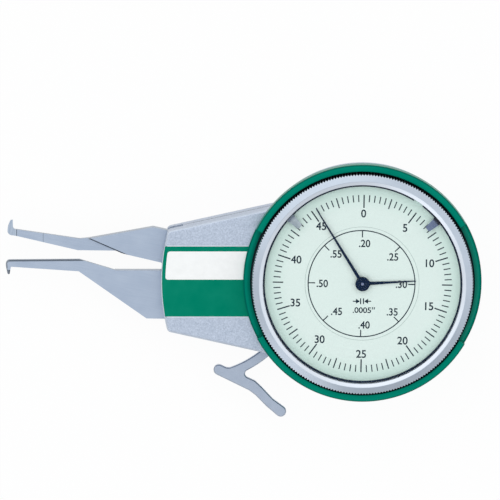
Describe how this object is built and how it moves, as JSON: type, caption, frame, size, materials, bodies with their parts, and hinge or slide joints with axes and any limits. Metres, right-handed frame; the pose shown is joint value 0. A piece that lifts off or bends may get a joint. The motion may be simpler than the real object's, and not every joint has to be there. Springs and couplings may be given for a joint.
{
  "type": "internal dial caliper gauge",
  "caption": "Pistol-shaped internal dial caliper gauge with two slim hooked arms, a finger trigger, a round dial in a knurled bezel and a green rim.",
  "frame": {"origin": "on the dial axis, at the flat back of the housing", "axes": "+Z out of the dial along its axis, -X along the measuring arms, -Y towards the trigger"},
  "size_m": [0.1352, 0.0732, 0.0232],
  "materials": {
    "housing_paint": "silver hammered paint",
    "rim_green": "green semi-gloss paint",
    "label_green": "green print with a white panel",
    "arm_steel": "ground steel",
    "tip_steel": "hardened ground steel",
    "trigger_steel": "satin steel",
    "screw_steel": "plated steel",
    "pin_steel": "ground steel",
    "spring_steel": "blued spring steel",
    "plate_brass": "brushed brass",
    "train_brass": "polished brass",
    "bush_bronze": "bronze",
    "bezel_silver": "satin chrome",
    "crystal_clear": "clear",
    "dial_print": "pale green printed dial",
    "ring_black": "black",
    "marker_black": "dark grey",
    "hand_black": "blue-black lacquer"
  },
  "bodies": {
    "housing": {"rear_housing": "housing_paint", "front_housing": "housing_paint", "housing_screws": "screw_steel", "rim_ring": "rim_green", "label_plate": "label_green", "fixed_arm": "arm_steel", "fixed_arm_screws": "screw_steel", "fixed_arm_dowels": "pin_steel", "arm_pivot_pin": "pin_steel", "thrust_washers": "pin_steel", "rear_plate": "plate_brass", "front_plate": "plate_brass", "plate_pillars": "train_brass", "plate_screws": "screw_steel", "movement_screws": "screw_steel", "stop_pin": "pin_steel", "return_spring": "spring_steel", "spring_post": "pin_steel", "hairspring": "spring_steel", "hairspring_stud": "pin_steel", "minute_wheel_post": "pin_steel", "bezel_retaining_wire": "spring_steel"},
    "arm": {"moving_arm": "arm_steel", "contact_tip": "tip_steel", "arm_bush": "bush_bronze", "trigger": "trigger_steel", "trigger_screws": "screw_steel", "sector_gear": "train_brass", "sector_screws": "screw_steel", "spring_pin": "pin_steel"},
    "intermediate": {"intermediate_arbor": "pin_steel", "intermediate_wheel": "train_brass"},
    "centre": {"centre_arbor": "pin_steel", "cannon_pinion": "pin_steel", "long_hand": "hand_black"},
    "takeup": {"takeup_arbor": "pin_steel", "takeup_wheel": "train_brass", "hairspring_collet": "train_brass"},
    "minute": {"minute_wheel": "train_brass"},
    "hour": {"hour_wheel": "train_brass", "short_hand": "hand_black"},
    "bezel": {"bezel": "bezel_silver", "crystal": "crystal_clear", "dial_plate": "dial_print", "split_ring": "ring_black"},
    "left_marker": {"left_limit_marker": "marker_black"},
    "right_marker": {"right_limit_marker": "marker_black"}
  },
  "joints": [
    {"name": "arm_pivot", "type": "hinge", "parent": "housing", "child": "arm", "pos_m": [-0.0476, 0.00303, 0.0075], "axis": [0, 0, 1], "range_deg": [0, 11.4], "stiffness_Nm_per_rad": 0.2, "springref_deg": -18.33, "deforming": ["return_spring"]},
    {"name": "intermediate_spin", "type": "hinge", "parent": "housing", "child": "intermediate", "pos_m": [-0.00663, -0.00827, 0.011], "axis": [0, 0, 1], "range_deg": [-315, 3]},
    {"name": "centre_spin", "type": "hinge", "parent": "housing", "child": "centre", "pos_m": [0, 0, 0.011], "axis": [0, 0, 1], "range_deg": [-10, 3000]},
    {"name": "takeup_spin", "type": "hinge", "parent": "housing", "child": "takeup", "pos_m": [0.00495, 0.00495, 0.011], "axis": [0, 0, 1], "range_deg": [-505, 5], "deforming": ["hairspring"]},
    {"name": "minute_spin", "type": "hinge", "parent": "housing", "child": "minute", "pos_m": [-0.00413, -0.0015, 0.017], "axis": [0, 0, 1], "range_deg": [-1130, 5]},
    {"name": "hour_spin", "type": "hinge", "parent": "housing", "child": "hour", "pos_m": [0, 0, 0.018], "axis": [0, 0, 1], "range_deg": [-3, 378]},
    {"name": "bezel_turn", "type": "hinge", "parent": "housing", "child": "bezel", "pos_m": [0, 0, 0.0195], "axis": [0, 0, 1], "continuous": true},
    {"name": "left_marker_turn", "type": "hinge", "parent": "bezel", "child": "left_marker", "pos_m": [0, 0, 0.0212], "axis": [0, 0, 1], "range_deg": [-42.3, 127.7]},
    {"name": "right_marker_turn", "type": "hinge", "parent": "bezel", "child": "right_marker", "pos_m": [0, 0, 0.0212], "axis": [0, 0, 1], "range_deg": [-125.4, 44.6]}
  ],
  "couplings": [
    {"joint": "intermediate_spin", "follows": "arm_pivot", "ratio": -27.333},
    {"joint": "centre_spin", "follows": "arm_pivot", "ratio": 262.4},
    {"joint": "takeup_spin", "follows": "arm_pivot", "ratio": -43.733},
    {"joint": "minute_spin", "follows": "arm_pivot", "ratio": -98.4},
    {"joint": "hour_spin", "follows": "arm_pivot", "ratio": 32.8}
  ]
}
